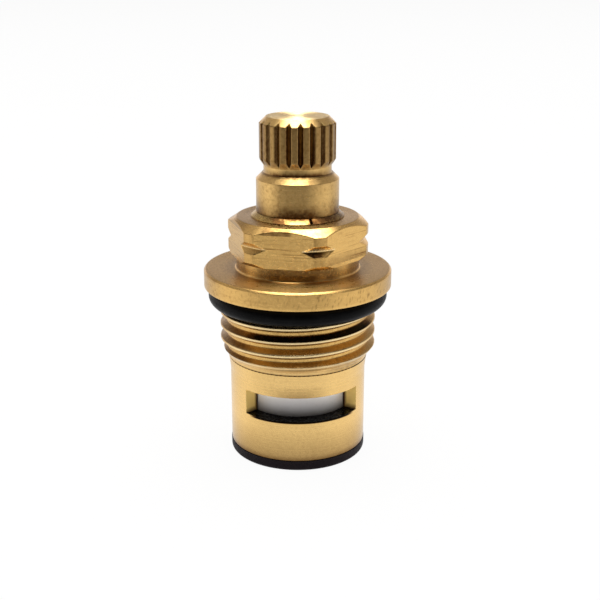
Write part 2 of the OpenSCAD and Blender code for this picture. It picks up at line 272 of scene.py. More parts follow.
def swept(name, corners, radius_at, marks_at, closed):
    """Mesh swept round the axis, with radii from radius_at(angle, r, z) and marks as vertex values."""
    path = rounded_path(corners, closed)
    angle = np.linspace(0, 2 * math.pi, SIDES, endpoint=False)
    ends = (path[0], path[-1])
    if not closed:
        path = path[1:-1]
    r = np.repeat(path[:, :1], SIDES, axis=1)
    z = np.repeat(path[:, 1:], SIDES, axis=1)
    turned = radius_at(angle[None, :], r, z)
    xyz = np.stack([turned * np.cos(angle), turned * np.sin(angle), z], axis=2)
    verts = (xyz.reshape(-1, 3) * MM).tolist()
    rows = len(path)
    i, j = np.meshgrid(np.arange(rows if closed else rows - 1), np.arange(SIDES), indexing="ij")
    k, m = (i + 1) % rows, (j + 1) % SIDES
    quads = np.stack([i * SIDES + j, i * SIDES + m, k * SIDES + m, k * SIDES + j], axis=2)
    faces = quads.reshape(-1, 4).tolist()
    if not closed:
        first = len(verts)
        verts += [(0, 0, ends[0][1] * MM), (0, 0, ends[1][1] * MM)]
        top = (rows - 1) * SIDES
        for a in range(SIDES):
            b = (a + 1) % SIDES
            faces.append((first, b, a))
            faces.append((first + 1, top + a, top + b))
    mesh = bpy.data.meshes.new(name)
    mesh.from_pydata(verts, [], faces)
    for mark, value in marks_at(angle[None, :], r, z).items():
        values = np.array(value, dtype=np.float32).ravel()
        if not closed:
            values = np.append(values, (values[0], values[-1])).astype(np.float32)
        mesh.attributes.new(mark, "FLOAT", "POINT").data.foreach_set("value", values)
    piece = bpy.data.objects.new(name, mesh)
    bpy.context.collection.objects.link(piece)
    tidy(mesh)
    return piece


def tidy(mesh):
    """Merge what coincides, turn the faces outwards and shade smooth up to the sharp angle."""
    bm = bmesh.new()
    bm.from_mesh(mesh)
    bmesh.ops.remove_doubles(bm, verts=bm.verts, dist=MERGE_GAP)
    bmesh.ops.dissolve_degenerate(bm, edges=bm.edges, dist=MERGE_GAP)
    bmesh.ops.recalc_face_normals(bm, faces=bm.faces)
    bm.to_mesh(mesh)
    bm.free()
    mesh.shade_smooth()
    mesh.set_sharp_from_angle(angle=SHARP_ANGLE)


# Shape of the headpiece

def thread_turns(angle, z):
    """Turns along the helix that rises anticlockwise; a whole number is on a crest."""
    return (z - CREST_Z) / PITCH - angle / (2 * math.pi)


def off_crest(angle, z):
    """Distance along the axis to the nearest crest."""
    turns = thread_turns(angle, z)
    return np.abs(turns - np.round(turns)) * PITCH


def thread_depth(angle, z):
    """Depth of the thread below its crests."""
    flank = (off_crest(angle, z) - CREST_HALF_W) / math.tan(FLANK)
    return smooth_min(-smooth_min(-flank, 0 * flank, CREST_ROUND), THREAD_DEPTH, ROOT_ROUND)


def hexagon_radius(angle):
    """Distance from the axis to the hexagon's flats."""
    turn = np.mod(angle - HEX_CORNER_DIR, math.radians(60)) - math.radians(30)
    return HEX_APOTHEM / np.cos(turn)


def on_barrel(r, z):
    return (r > SKIRT_R - BARREL_WALL) & (z < FLANGE_Z)


def headpiece_radius(angle, r, z):
    """Outline of the headpiece with the thread cut into its barrel and the flats into its hexagon."""
    cut = np.maximum(r - (THREAD_R - thread_depth(angle, z)), 0) * band(z, RUN_IN, RUN_OUT)
    r = np.where(on_barrel(r, z), r - cut, r)
    return np.where(z > HEX_Z - TINY, smooth_min(r, hexagon_radius(angle), HEX_EDGE_ROUND), r)


def headpiece_corners():
    crown_h = (HEX_CORNER_R - HEX_CROWN_R) * HEX_CROWN_SLOPE
    snap_z = (SEAM_Z + SPIGOT_TOP) / 2
    return [
        Corner(SPIGOT_BORE_R, SEAM_LIP_Z),
        Corner(SKIRT_R, SEAM_LIP_Z, fillet=0.05),
        Corner(SKIRT_R, SEAM_Z + SKIRT_H, fillet=0.15, step=0.06),
        Corner(THREAD_R, THREAD_Z, fillet=0.3, step=0.06),
        Corner(THREAD_R, THREAD_TOP, fillet=0.1, step=0.06),
        Corner(RING_SEAT_R, THREAD_TOP + THREAD_BEVEL_H, fillet=0.1, step=0.06),
        Corner(RING_SEAT_R, FLANGE_Z, fillet=0.15, step=0.4),
        Corner(FLANGE_R, FLANGE_Z, fillet=0.12, step=0.8),
        Corner(FLANGE_R, FLANGE_TOP - FLANGE_CHAMFER, fillet=0.12, step=0.3),
        Corner(FLANGE_R - FLANGE_CHAMFER, FLANGE_TOP, fillet=0.12, step=0.1),
        Corner(BOSS_R, FLANGE_TOP, fillet=BOSS_FILLET, step=0.5),
        Corner(BOSS_R, HEX_Z, fillet=0.05, step=0.2),
        Corner(HEX_CORNER_R - HEX_FOOT_CHAMFER, HEX_Z),
        Corner(HEX_CORNER_R, HEX_Z + HEX_FOOT_CHAMFER, fillet=0.1, step=0.05),
        Corner(HEX_CORNER_R, HEX_GROOVE_Z - HEX_GROOVE_H / 2, fillet=0.06, step=0.12),
        Corner(HEX_CORNER_R - HEX_GROOVE_DEPTH, HEX_GROOVE_Z, fillet=0.2, step=0.05),
        Corner(HEX_CORNER_R, HEX_GROOVE_Z + HEX_GROOVE_H / 2, fillet=0.06, step=0.05),
        Corner(HEX_CORNER_R, HEX_TOP - crown_h, fillet=0.08, step=0.08),
        Corner(HEX_CROWN_R, HEX_TOP, fillet=0.1, step=0.06),
        Corner(SHAFT_BORE_R, HEX_TOP, fillet=0.06, step=0.4),
        Corner(SHAFT_BORE_R, CEILING_Z, step=1.5),
        Corner(SPIGOT_BORE_R, CEILING_Z),
        Corner(SPIGOT_BORE_R, snap_z + SNAP_REACH),
        Corner(SPIGOT_BORE_R + SNAP_REACH - SEAT_GAP, snap_z),
        Corner(SPIGOT_BORE_R, snap_z - SNAP_REACH),
    ]


# Shape of the spindle

def spindle_radius(angle, r, z):
    """Outline of the spindle with the spline, the tang's flats and the gaps between the lugs cut."""
    step = 2 * math.pi / SPLINE_TEETH
    turn = np.mod(angle - SPLINE_DIR + step / 2, step) - step / 2
    half_w = (step * SPLINE_R - TOOTH_TIP_W) / 2
    vee = SPLINE_R - SPLINE_DEPTH * (1 - np.abs(turn) * SPLINE_R / half_w)
    r = np.where(z > SHAFT_TOP + NECK_H / 2, smooth_min(r, vee, SPLINE_ROUND), r)
    across = np.maximum(np.abs(np.sin(angle - WINDOW_DIR)), TINY)
    bar = np.minimum(TANG_L, TANG_W / across) / 2
    r = np.where((z < DRUM_Z + TINY) & (r < TANG_L / 2 + TINY), np.minimum(r, bar), r)
    off_lug = np.abs(np.mod(angle - LUG_DIR + math.pi / 2, math.pi) - math.pi / 2)
    return np.where((r > LUG_R - TINY) & (off_lug > LUG_ANGLE / 2), DRUM_R, r)


def square_groove(r, bottom_r, z, h):
    low, high = z - h / 2, z + h / 2
    return [
        Corner(r, low, fillet=0.05, step=0.8),
        Corner(bottom_r, low),
        Corner(bottom_r, high),
        Corner(r, high, fillet=0.05),
    ]


def spindle_corners():
    return [
        Corner(0, SPINDLE_LOW.z),
        Corner(TANG_L / 2, SPINDLE_LOW.z),
        Corner(TANG_L / 2, DRUM_Z, step=0.4),
        Corner(DRUM_R - DRUM_CHAMFER, DRUM_Z),
        Corner(DRUM_R, DRUM_Z + DRUM_CHAMFER),
        Corner(LUG_R, DRUM_Z + DRUM_CHAMFER),
        Corner(LUG_R, DRUM_Z + DRUM_CHAMFER + LUG_H, step=0.5),
        Corner(DRUM_R, DRUM_Z + DRUM_CHAMFER + LUG_H),
        Corner(DRUM_R, DRUM_Z + DRUM_H, fillet=0.05),
        Corner(SHAFT_R, DRUM_Z + DRUM_H),
        *square_groove(SHAFT_R, RING_GROOVE_R, LOWER_RING_Z, RING_GROOVE_H),
        *square_groove(SHAFT_R, RING_GROOVE_R, UPPER_RING_Z, RING_GROOVE_H),
        *square_groove(SHAFT_R, RETAINER_GROOVE_R, RETAINER_Z, RETAINER_GROOVE_H),
        Corner(SHAFT_R, SHAFT_CHAMFER_Z, fillet=0.1, step=0.4),
        Corner(SHAFT_R - SHAFT_CHAMFER, SHAFT_TOP, fillet=0.06, step=0.1),
        Corner(NECK_R, SHAFT_TOP, fillet=0.1),
        Corner(NECK_R, NECK_TOP, fillet=0.1, step=0.1),
        Corner(SPLINE_R, SPLINE_Z, fillet=0.15, step=0.05),
        Corner(SPLINE_R, TIP_Z, fillet=0.12, step=0.25),
        Corner(SPLINE_R - SPINDLE_CHAMFER, SPINDLE_HIGH.z, fillet=0.12, step=0.06),
        Corner(0, SPINDLE_HIGH.z, step=0.4),
    ]


# Film, painted shade and painted highlights on the headpiece and the spindle

class SideShading(NamedTuple):
    """Film, painted shade or painted highlight on one side of the part.

    Its middle is in degrees right of the front. Up to full degrees from there it is whole, and past
    none degrees it is gone.
    """
    strength: float
    middle: float
    full: float
    none: float

    def share(self, angle):
        turn = angle - math.radians(self.middle) - FRONT
        off_middle = np.abs(np.mod(turn + math.pi, 2 * math.pi) - math.pi)
        return 1 - ramp(off_middle, math.radians(self.full), math.radians(self.none))

    def at(self, angle):
        """Strength within the smear."""
        return self.strength * self.share(angle)

    def away(self, angle):
        """Strength outside it, for film or painted shade that spares this side."""
        return self.strength * (1 - self.share(angle))


def most(*films):
    """The strongest of several films at each point."""
    return np.max(np.stack(films), axis=0)


# Thread: parts of a turn from one crest to the next, levels and strengths
UPPER_FLANK = ((0.05, 0.1), (0.3, 0.4))
LOWER_FLANK = ((0.62, 0.7), (0.88, 0.94))
# Painted shade on the flanks, stronger in front and on the left
THREAD_SHADE = 0.2
THREAD_SHADE_FRONT = SideShading(0.12, 0, 10, 30)
THREAD_SHADE_LEFT = SideShading(0.24, -72, 22, 40)
THREAD_SHADE_RISE = (SEAM_Z + 0.5, SEAM_Z + 1.0)
# Painted reflection of the black O-ring in the first groove
FIRST_GROOVE_REFLECTION = SideShading(1.0, 14, 42, 66)
# Painted shade on the lead
LEAD_SHADE = SideShading(0.2, 42, 10, 24)
LEAD_SHADE_TOP = THREAD_Z + 0.4
SEAM_FILM = 0.35
SEAM_FILM_FADE = (SEAM_LIP_Z + 0.05, SEAM_LIP_Z + 0.14)
# Painted highlights on the crests in front and on the lead
CREST_HIGHLIGHT = SideShading(0.55, 0, 45, 80)
CREST_HIGHLIGHT_FADE = (CREST_HALF_W, CREST_HALF_W + 0.15)
LEAD_HIGHLIGHT = 0.15
LEAD_HIGHLIGHT_FADE = (SEAM_Z + 0.6, SEAM_Z + 1.2)


def thread_shade(angle, z):
    """Painted shade on both flanks, a painted reflection of the black O-ring in the first groove, painted
    shade on the lead and dirt at the seam.
    """
    turns = thread_turns(angle, z)
    phase = turns - np.floor(turns)
    upper = band(phase, *UPPER_FLANK)
    lower = band(phase, *LOWER_FLANK)
    brown = THREAD_SHADE + THREAD_SHADE_FRONT.at(angle) + THREAD_SHADE_LEFT.at(angle)
    painted_black = (np.floor(turns) == 0) * FIRST_GROOVE_REFLECTION.at(angle)
    flanks = np.maximum(brown * np.maximum(upper, lower), upper * painted_black) * ramp(z, *THREAD_SHADE_RISE)
    lead = LEAD_SHADE.at(angle) * (z < LEAD_SHADE_TOP)
    seam = SEAM_FILM * (1 - ramp(z, *SEAM_FILM_FADE))
    return most(flanks, lead, seam)


def thread_highlight(angle, z):
    """Painted highlights on the crests in front and on the lead."""
    crest = CREST_HIGHLIGHT.at(angle) * (1 - ramp(off_crest(angle, z), *CREST_HIGHLIGHT_FADE))
    lead = 1 - ramp(z, *LEAD_HIGHLIGHT_FADE)
    return crest * (1 - lead) + LEAD_HIGHLIGHT * lead


# Hexagon: its two corners in front, then heights above the middle of its groove and strengths
RIGHT_CORNER = SideShading(1.0, HEX_TURN, 14, 28)
LEFT_CORNER = SideShading(1.0, HEX_TURN - 60, 14, 28)
MILLED_EDGE = 0.06
GROOVE_MARGIN = 0.04
# Painted shade in the groove: black low down and brown along the upper edge
GROOVE_SHADE = 0.85
GROOVE_SHADE_TOP = -0.1
GROOVE_SHADE_LOSS = 0.75
GROOVE_SHADE_LOSS_RISE = (math.radians(-4), math.radians(8))
GROOVE_EDGE_SHADE = 0.4
GROOVE_EDGE_RISE = (0.35, 0.5)
GROOVE_LEFT_SHADE = 0.1
# Painted highlight on the groove's upper wall
GROOVE_LIGHT_BAND = ((-0.05, 0.05), (0.3, 0.45))
GROOVE_HIGHLIGHT_LEFT = 0.4
GROOVE_HIGHLIGHT_RIGHT = 0.7
# Painted shade on the foot chamfer, low on the flats and on the corners
FOOT_SHADE = 0.35
FLATS_SHADE = 0.06
FLATS_SHADE_RIGHT = SideShading(0.2, 48, 22, 40)
FLATS_SHADE_FADE = (HEX_Z + 0.4, HEX_Z + 2.4)
CORNER_SHADE_RIGHT = 0.17
CORNER_SHADE_LEFT = 0.2
CORNER_LINE = 0.24
# Painted shade on the crown and on the top face
CROWN_ZONE_H = 1.3
CROWN_SHADE_MIDDLE = SideShading(0.4, -19, 10, 16)
CROWN_SHADE_LEFT = SideShading(0.25, -80, 22, 36)
FACE_SHADE = 0.2
FACE_SHADE_LEFT = SideShading(0.1, -90, 30, 70)
FACE_SHADE_LOSS = SideShading(0.5, 0, 25, 55)


def milled_flats(angle, r, z):
    """One where the flats cut the turned outline of the hexagon."""
    return (z > HEX_Z - TINY) * ramp(r - hexagon_radius(angle), 0.0, MILLED_EDGE)


def turned_corners(angle, r, z):
    """One where the turned outline of the hexagon is left."""
    return (z > HEX_Z - TINY) * (1 - milled_flats(angle, r, z))


def in_groove(angle, r, z):
    """One in the groove round the hexagon, which cuts its corners only."""
    inside = np.abs(z - HEX_GROOVE_Z) < HEX_GROOVE_H / 2 - GROOVE_MARGIN
    return inside * turned_corners(angle, r, z)


def groove_shade(angle, r, z):
    """Painted shade, black low in the groove up to the right corner's middle and brown along its upper
    edge.
    """
    above = z - HEX_GROOVE_Z
    past_corner = np.mod(angle - HEX_CORNER_DIR + math.pi, 2 * math.pi) - math.pi
    painted_black = GROOVE_SHADE - GROOVE_SHADE_LOSS * ramp(past_corner, *GROOVE_SHADE_LOSS_RISE)
    edge = GROOVE_EDGE_SHADE * ramp(above, *GROOVE_EDGE_RISE)
    right = np.maximum(painted_black * (above < GROOVE_SHADE_TOP), edge) * RIGHT_CORNER.at(angle)
    left = GROOVE_LEFT_SHADE * LEFT_CORNER.at(angle)
    return np.maximum(right, left) * in_groove(angle, r, z)


def groove_highlight(angle, r, z):
    """Painted highlight on the wall above the middle of the groove."""
    corners = GROOVE_HIGHLIGHT_LEFT * LEFT_CORNER.at(angle) + GROOVE_HIGHLIGHT_RIGHT * RIGHT_CORNER.at(angle)
    return corners * band(z - HEX_GROOVE_Z, *GROOVE_LIGHT_BAND) * in_groove(angle, r, z)


def hexagon_side_shade(angle, r, z):
    """Painted shade on the foot chamfer, low on the flats, on the corners and along the right corner's
    edges.
    """
    turned = turned_corners(angle, r, z)
    at_foot = (z < HEX_Z + HEX_FOOT_CHAMFER - NEAR) * (r < HEX_CORNER_R - NEAR)
    foot = FOOT_SHADE * at_foot * turned
    on_side = (z > HEX_Z - TINY) * (r > HEX_CORNER_R - NEAR)
    flats = (FLATS_SHADE + FLATS_SHADE_RIGHT.at(angle)) * (1 - ramp(z, *FLATS_SHADE_FADE))
    corners = CORNER_SHADE_RIGHT * RIGHT_CORNER.at(angle) + CORNER_SHADE_LEFT * LEFT_CORNER.at(angle)
    on_edge = np.abs(hexagon_radius(angle) - HEX_CORNER_R) < NEAR
    line = CORNER_LINE * on_edge * RIGHT_CORNER.at(angle) * (z > HEX_GROOVE_Z)
    return most(foot, flats * on_side, corners * turned * on_side, line * on_side)


def hexagon_top_shade(angle, r, z):
    """Painted shade on the turned crown and on the face round the ring."""
    on_crown = (z > HEX_TOP - CROWN_ZONE_H) * (r > HEX_CROWN_R + NEAR) * (r < HEX_CORNER_R - NEAR)
    crown = on_crown * (CROWN_SHADE_MIDDLE.at(angle) + CROWN_SHADE_LEFT.at(angle))
    darkening = (FACE_SHADE + FACE_SHADE_LEFT.at(angle)) * (1 - FACE_SHADE_LOSS.at(angle))
    return np.maximum(crown, darkening * (z > HEX_TOP - FLAT))


# Boss and flange: radii, levels and strengths
# Painted shade on the boss, on the flange's top and brim and high on its rim; the rim's faint film and
# specks are its own marks
BOSS_SHADE_FRONT = SideShading(0.42, 0, 30, 48)
BOSS_SHADE_SIDES = SideShading(0.32, 0, 46, 60)
BOSS_ZONE_Z = FLANGE_TOP + BOSS_FILLET / 2
BOSS_ZONE_R = BOSS_R + 0.24
TOP_ZONE_R = BOSS_R + 0.2
TOP_SHADE = 0.18
TOP_SHADE_INNER = 0.14
TOP_SHADE_FADE = (8.6, 10.5)
TOP_SIDES = SideShading(1.0, 0, 25, 60)
BRIM_SHADE = SideShading(0.16, 0, 8, 20)
BRIM_SHADE_RISE = (11.0, 11.8)
RIM_ZONE_R = FLANGE_R - 0.4
RIM_ZONE_Z = FLANGE_Z + 0.3
RIM_FILM = 0.07
RIM_EDGE_Z = FLANGE_TOP - FLANGE_CHAMFER - 0.1
RIM_EDGE_SHADE = SideShading(0.22, -85, 25, 40)
SPOT_SEED = 5
SPOT_SHARE = 0.08
SPOT_FILM = 0.22
SPOTS_RIGHT = SideShading(0.5, 45, 25, 55)


def flange_shade_and_specks(angle, r, z):
    """Painted shade on the boss, on the flange's top and brim and high on its rim, and a faint film with
    specks on the rim.
    """
    on_boss = (z > BOSS_ZONE_Z) * (z < HEX_Z + TINY) * (r < BOSS_ZONE_R)
    boss = on_boss * (BOSS_SHADE_FRONT.at(angle) + BOSS_SHADE_SIDES.away(angle))
    on_top = (np.abs(z - FLANGE_TOP) < FLAT) * (r > TOP_ZONE_R)
    top = TOP_SIDES.away(angle) * (TOP_SHADE + TOP_SHADE_INNER * (1 - ramp(r, *TOP_SHADE_FADE)))
    brim = BRIM_SHADE.away(angle) * ramp(r, *BRIM_SHADE_RISE)
    on_rim = (r > RIM_ZONE_R) * (z > RIM_ZONE_Z)
    spots = np.random.default_rng(SPOT_SEED).random(r.shape) > 1 - SPOT_SHARE
    rim = RIM_FILM + SPOT_FILM * spots * (0.5 + SPOTS_RIGHT.at(angle))
    edge = RIM_EDGE_SHADE.at(angle) * (z > RIM_EDGE_Z)
    return most(boss, top * on_top, brim * on_top, rim * on_rim, edge * on_rim)


def headpiece_marks(angle, r, z):
    """Film, painted shade, painted highlights and milled flats of the headpiece."""
    place = (angle, r, z)
    barrel = on_barrel(r, z)
    hexagon = most(groove_shade(*place), hexagon_side_shade(*place), hexagon_top_shade(*place))
    darkening = np.maximum(hexagon, flange_shade_and_specks(*place))
    return {
        "film_and_shade": np.where(barrel, thread_shade(angle, z), darkening),
        "painted_highlight": np.where(barrel, thread_highlight(angle, z), groove_highlight(*place)),
        "milled": milled_flats(*place),
    }


# Spindle: depths in the spline, levels and strengths
# Painted shade on the spline's lands and teeth
LAND_SHADE = 0.38
LAND_SHADE_LOSS = SideShading(0.05, 0, 20, 60)
TOOTH_SHADE = 0.55
TOOTH_SHADE_RIGHT = SideShading(0.14, 24, 14, 34)
TOOTH_SHADE_FADE = (NECK_TOP + 1.0, TIP_Z - 1.0)
TOOTH_SHADE_DEPTH = (0.0, 0.1)
ROOT_SHADE_LOSS = 0.25
ROOT_SHADE_LOSS_DEPTH = (0.2, 0.45)
SPLINE_SHADE_RISE = (NECK_TOP, NECK_TOP + 0.5)
SPLINE_SHADE_TOP = TIP_Z + 0.1
# Painted shade on the neck, the shoulder and beside the chamfer's bright middle
NECK_SHADE = 0.2
NECK_SHADE_FRONT = SideShading(0.45, 0, 25, 70)
NECK_SHADE_FADE = (SHAFT_TOP, SHAFT_TOP + 0.9)
NECK_ZONE_R = NECK_R + 0.3
SHOULDER_SHADE = 0.38
SHOULDER_ZONE_Z = SHAFT_TOP - 0.4
SHOULDER_SHADE_RISE = (SHAFT_TOP - 0.3, SHAFT_TOP - 0.05)
CHAMFER_ZONE_R = NECK_R + 0.1
CHAMFER_SHADE = SideShading(0.13, 0, 22, 32)
CHAMFER_UNSHADED_MIDDLE = SideShading(1.0, 0, 8, 20)
CHAMFER_SHADE_RIGHT = SideShading(0.14, 24, 10, 18)
# Painted shade on the right of the tip's chamfer
TIP_SHADE = SideShading(0.25, 27, 10, 16)
FACED_Z = SPINDLE_HIGH.z - 1e-3
# Painted highlight on the faced end
FACED_HIGHLIGHT = 0.5
# Painted shade at the shaft's foot and down its front
SHAFT_FOOT_SHADE = 0.25
SHAFT_FOOT_FRONT = SideShading(0.38, 0, 15, 45)
SHAFT_FOOT_SIDES = SideShading(0.25, 0, 42, 66)
SHAFT_FOOT_FADE = (RETAINER_HIGH.z, RETAINER_HIGH.z + 2.8)
SHAFT_SHADE_FRONT = SideShading(0.17, 0, 22, 44)


def spline_shade(angle, r, z):
    """Painted shade on the teeth, darker on their flanks, most of all low on the right, and on the tip."""
    depth = r - spindle_radius(angle, r, z)
    right = TOOTH_SHADE_RIGHT.at(angle) * (1 - ramp(z, *TOOTH_SHADE_FADE))
    flanks = (TOOTH_SHADE + right) * ramp(depth, *TOOTH_SHADE_DEPTH)
    roots = ROOT_SHADE_LOSS * ramp(depth, *ROOT_SHADE_LOSS_DEPTH)
    teeth = np.maximum(LAND_SHADE - LAND_SHADE_LOSS.at(angle), flanks - roots)
    teeth = teeth * ramp(z, *SPLINE_SHADE_RISE) * (z < SPLINE_SHADE_TOP)
    on_tip = (z > SPLINE_SHADE_TOP) * (z < FACED_Z)
    return np.maximum(teeth, TIP_SHADE.at(angle) * on_tip)


def shoulder_shade(angle, r, z):
    """Painted shade low on the neck, on the shoulder under it and on both sides of the chamfer's bright
    middle.
    """
    on_neck = (z > SHAFT_TOP - TINY) * (r < NECK_ZONE_R)
    neck = (NECK_SHADE + NECK_SHADE_FRONT.at(angle)) * (1 - ramp(z, *NECK_SHADE_FADE)) * on_neck
    below_neck = z < SHAFT_TOP + TINY
    on_shoulder = (z > SHOULDER_ZONE_Z) * below_neck * (r > NECK_R)
    shoulder = SHOULDER_SHADE * ramp(z, *SHOULDER_SHADE_RISE) * on_shoulder
    on_chamfer = (z > SHAFT_CHAMFER_Z - TINY) * below_neck * (r > CHAMFER_ZONE_R)
    sides = CHAMFER_SHADE.at(angle) * CHAMFER_UNSHADED_MIDDLE.away(angle)
    return most(neck, shoulder, (sides + CHAMFER_SHADE_RIGHT.at(angle)) * on_chamfer)


def shaft_shade(angle, z):
    """Painted shade at the foot of the shaft, above the ring, and down its front."""
    above_ring = z > RETAINER_HIGH.z
    foot = SHAFT_FOOT_SHADE + SHAFT_FOOT_FRONT.at(angle) + SHAFT_FOOT_SIDES.away(angle)
    foot = foot * (1 - ramp(z, *SHAFT_FOOT_FADE)) * above_ring
    return np.maximum(foot, SHAFT_SHADE_FRONT.at(angle) * above_ring * (z < SHAFT_CHAMFER_Z))


def spindle_marks(angle, r, z):
    """Painted shade of the spindle, and its faced end with a painted highlight."""
    faced = (z > FACED_Z) * 1.0
    darkening = most(spline_shade(angle, r, z), shoulder_shade(angle, r, z), shaft_shade(angle, z))
    return {"film_and_shade": darkening, "painted_highlight": FACED_HIGHLIGHT * faced, "faced": faced}


headpiece = swept("threaded_headpiece", headpiece_corners(), headpiece_radius, headpiece_marks, True)
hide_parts("headpiece")
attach(headpiece, "cartridge")

spindle = swept("splined_spindle", spindle_corners(), spindle_radius, spindle_marks, False)
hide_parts("spindle")
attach(spindle, "spindle")


# Materials

class Nodes:
    """Short hand for building a node tree."""

    def __init__(self, tree):
        self.tree = tree

    def add(self, kind, links=None, **settings):
        node = self.tree.nodes.new(kind)
        for key, value in settings.items():
            setattr(node, key, value)
        for socket, value in (links or {}).items():
            self.set(node.inputs[socket], value)
        return node

    def set(self, socket, value):
        """Link a socket to an output, or give it a constant value."""
        if hasattr(value, "is_output"):
            self.tree.links.new(value, socket)
        elif value is not None:
            socket.default_value = value

    def math(self, operation, a, b=None, clamp=False):
        node = self.add("ShaderNodeMath", {0: a, 1: b}, operation=operation, use_clamp=clamp)
        return node.outputs[0]

    def vector_math(self, operation, a, b=None):
        return self.add("ShaderNodeVectorMath", {0: a, 1: b}, operation=operation).outputs

    def remap(self, value, low, high, to_low=0.0, to_high=1.0):
        node = self.add("ShaderNodeMapRange", {
            "Value": value, "From Min": low, "From Max": high, "To Min": to_low, "To Max": to_high,
        })
        return node.outputs[0]

    def fade(self, length, limits, strengths=(0.0, 1.0)):
        """Strength that changes between two limits of a length, given in millimetres."""
        low, high = limits
        return self.remap(length, low * MM, high * MM, *strengths)

    def noise(self, vector, scale, detail, rough):
        node = self.add("ShaderNodeTexNoise", {
            "Vector": vector, "Scale": scale, "Detail": detail, "Roughness": rough,
        })
        return node.outputs["Fac"]

    def mix(self, fac, a, b):
        node = self.add("ShaderNodeMix", data_type="RGBA")
        self.set(node.inputs["Factor"], fac)
        self.set(node.inputs["A"], a)
        self.set(node.inputs["B"], b)
        return node.outputs["Result"]

    def point(self):
        return self.add("ShaderNodeTexCoord").outputs["Object"]

    def true_normal(self):
        return self.add("ShaderNodeNewGeometry").outputs["True Normal"]

    def split(self, vector):
        return tuple(self.add("ShaderNodeSeparateXYZ", {"Vector": vector}).outputs)

    def radius_height(self, point):
        """Distance from the axis and height of a point, for marks left by the lathe."""
        x, y, z = self.split(point)
        squares = self.math("ADD", self.math("MULTIPLY", x, x), self.math("MULTIPLY", y, y))
        return self.math("SQRT", squares), z

    def attribute(self, name):
        return self.add("ShaderNodeAttribute", attribute_name=name).outputs["Fac"]

    def bump(self, height, distance, strength):
        node = self.add("ShaderNodeBump", {"Height": height, "Distance": distance, "Strength": strength})
        return node.outputs["Normal"]


class Look(Nodes):
    """Nodes of one new material."""

    def __init__(self, name):
        self.material = bpy.data.materials.new(name)
        self.material.use_nodes = True
        super().__init__(self.material.node_tree)
        self.shader = self.tree.nodes["Principled BSDF"]
        self.output = self.tree.nodes["Material Output"]

    def feed(self, socket, value):
        """Set or link one of the shader's sockets."""
        self.set(self.shader.inputs[socket], value)


def rgb(r, g, b):
    """Linear colour of an sRGB triple from 0 to 255."""
    parts = [c / 255 for c in (r, g, b)]
    return (*(c / 12.92 if c <= 0.04045 else ((c + 0.055) / 1.055) ** 2.4 for c in parts), 1.0)


# Colours of painted highlights, of dull brass, and of film and painted shade from brown to black
HIGHLIGHT_BRASS = rgb(255, 238, 192)
DULL_BRASS = rgb(255, 222, 130)
FILM_AND_SHADE_BROWN = rgb(96, 64, 32)
FILM_AND_SHADE_BLACK = rgb(9, 6, 4)

# Brass: ranges of its noises, and how far they count
SPECK_RANGE = (0.5, 0.75)
CLOUD_RANGE = (0.35, 0.65)
CLOUD_LOWEST = 0.1
SCRATCH_RANGE = (0.56, 0.72)
WEAR_RANGE = (0.4, 0.8)
WEAR_SHARE = 0.6
PATCH_RANGE = (0.35, 0.6)
PATCH_LESS = 0.17
PATCH_MORE = 0.25
# Painted shade in crevices, by how open they are, and the painted highlight that keeps it off
CREVICE_W = 0.5
CREVICE_RANGE = (0.45, 0.1)
CREVICE_SHADE = (0.0, 0.35)
SHADE_FREE_HIGHLIGHT = 0.4
# Film and painted shade are brown up to this strength and turn black beyond it
FULL_BROWN = 0.6
# Roughness below and above its middle, and what faced and dull places add to it
ROUGH_LESS = 0.06
ROUGH_MORE = 0.1
FACED_ROUGH = 0.27
DULL_ROUGH = 0.4
# Dull places: share of their own colour, of the film and painted shade that stay and of metal
DULL_SHARE = 0.8
DULL_FILM_AND_SHADE = 0.2
DULL_METAL = 0.05
# Brushed look of the spindle's end, which fades out towards the middle, and its loss on milled flats
FACED_ANISO = 0.84
END_RANGE = (1.6, 0.3)
END_ANISO_LOSS = (0.0, 0.6)
MILLED_ANISO_LOSS = 0.4
ALONG_THE_TURNS = 0.25
BRASS_RELIEF = 0.012
BRASS_BUMP = 0.6
SPECK_RELIEF = 0.2


def turned_marks(n, point):
    """Fine rings that a lathe leaves, from the distance to the axis and the height."""
    r, z = n.radius_height(point)
    section = n.add("ShaderNodeCombineXYZ", {"X": r, "Y": z}).outputs[0]
    return n.noise(section, scale=5200, detail=4, rough=0.65)


def milled_marks(n, point):
    """Long level scratches that a milling cutter leaves on the flats."""
    stretched = n.vector_math("MULTIPLY", point, (160, 160, 6500))[0]
    return n.noise(stretched, scale=1, detail=3, rough=0.6)


